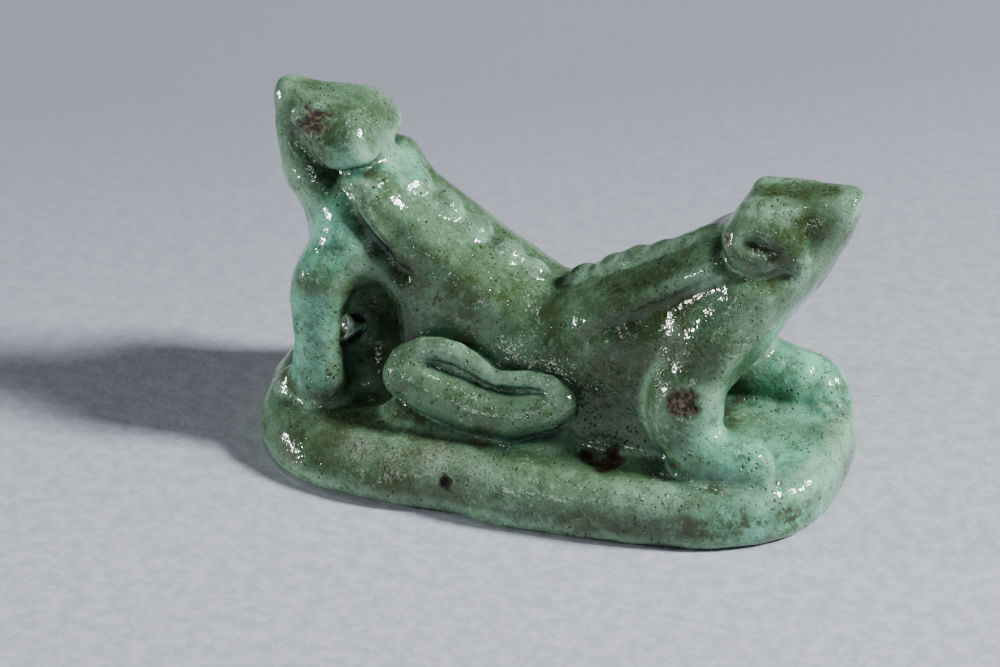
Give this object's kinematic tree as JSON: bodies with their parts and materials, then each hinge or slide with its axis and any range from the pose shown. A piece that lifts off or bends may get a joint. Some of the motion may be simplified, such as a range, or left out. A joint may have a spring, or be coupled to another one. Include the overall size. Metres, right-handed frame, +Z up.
{
  "type": "frog scaraboid",
  "caption": "Glazed faience scaraboid amulet: a pair of frogs seated back to back on an oval plinth, moulded in one piece and pierced for a thread.",
  "frame": {"origin": "under the middle of the oval plinth, on the surface that the amulet rests on", "axes": "+X along the plinth towards the lower frog's nose, the higher frog looks towards -X, +Z up"},
  "size_m": [0.03, 0.0172, 0.0182],
  "materials": {
    "green_glaze": "gloss"
  },
  "bodies": {
    "root": {"double_frog": "green_glaze"}
  },
  "joints": []
}
